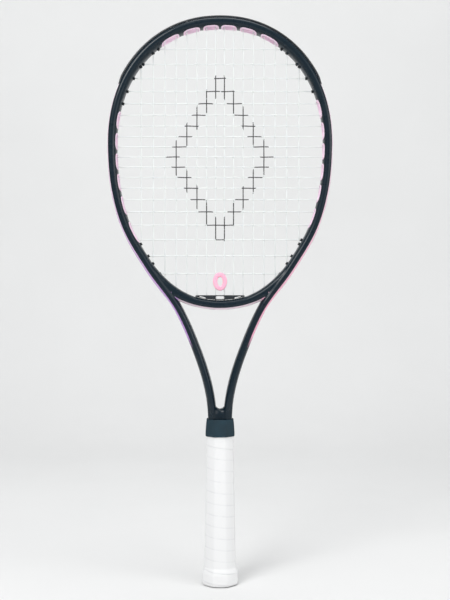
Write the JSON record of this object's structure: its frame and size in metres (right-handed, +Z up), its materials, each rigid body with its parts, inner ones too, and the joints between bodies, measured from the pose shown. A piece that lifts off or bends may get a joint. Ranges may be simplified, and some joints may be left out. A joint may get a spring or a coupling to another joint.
{
  "type": "tennis racket",
  "caption": "Adult tennis racket with an open throat, string ports round the hoop, woven strings, a dampener and a wrapped grip.",
  "frame": {"origin": "centre of the butt end's flat face, on the handle axis", "axes": "+Z up the handle towards the tip of the head, +X to the right across the strings, -Y out of the front face"},
  "size_m": [0.2727, 0.0386, 0.6858],
  "materials": {
    "frame_lacquer": "gloss lacquer over moulded graphite, dark teal navy with a pale pink side stripe",
    "pink_plastic": "satin moulded",
    "black_plastic": "satin moulded",
    "string": "semi-gloss monofilament",
    "pink_rubber": "satin silicone",
    "dark_rubber": "matt",
    "white_wrap": "matt polyurethane wrap, spiral seams",
    "grey_grip": "matt",
    "pallet_foam": "moulded foam",
    "staple_steel": "bright wire",
    "tape": "adhesive film"
  },
  "bodies": {
    "racket": {"frame": "frame_lacquer", "port_liner_head_1": "pink_plastic", "port_liner_head_2": "pink_plastic", "port_liner_head_3": "pink_plastic", "port_liner_head_4": "pink_plastic", "port_liner_head_5": "pink_plastic", "port_liner_head_6": "pink_plastic", "port_liner_left_1": "pink_plastic", "port_liner_left_2": "pink_plastic", "port_liner_left_3": "pink_plastic", "port_liner_left_4": "pink_plastic", "port_liner_left_5": "pink_plastic", "port_liner_left_6": "pink_plastic", "port_liner_right_1": "pink_plastic", "port_liner_right_2": "pink_plastic", "port_liner_right_3": "pink_plastic", "port_liner_right_4": "pink_plastic", "port_liner_right_5": "pink_plastic", "port_liner_right_6": "pink_plastic", "bumper_guard": "black_plastic", "grommet_strip_left": "black_plastic", "grommet_strip_right": "black_plastic", "throat_grommet_strip": "black_plastic", "bridge_insert": "black_plastic", "main_string": "string", "cross_string": "string", "finishing_tape": "tape", "overgrip": "white_wrap", "base_grip": "grey_grip", "pallet_front": "pallet_foam", "pallet_back": "pallet_foam", "butt_cap": "black_plastic", "staple_left": "staple_steel", "staple_right": "staple_steel"},
    "dampener": {"vibration_dampener": "pink_rubber"},
    "collar": {"rubber_collar": "dark_rubber"},
    "door": {"butt_cap_door": "black_plastic"}
  },
  "joints": [
    {"name": "dampener_slide", "type": "slide", "parent": "racket", "child": "dampener", "axis": [0, 0, 1], "range_m": [-0.004, 0]},
    {"name": "collar_slide", "type": "slide", "parent": "racket", "child": "collar", "axis": [0, 0, 1], "range_m": [0, 0.008]},
    {"name": "door_pull", "type": "slide", "parent": "racket", "child": "door", "axis": [0, 0, -1], "range_m": [0, 0.008]}
  ]
}
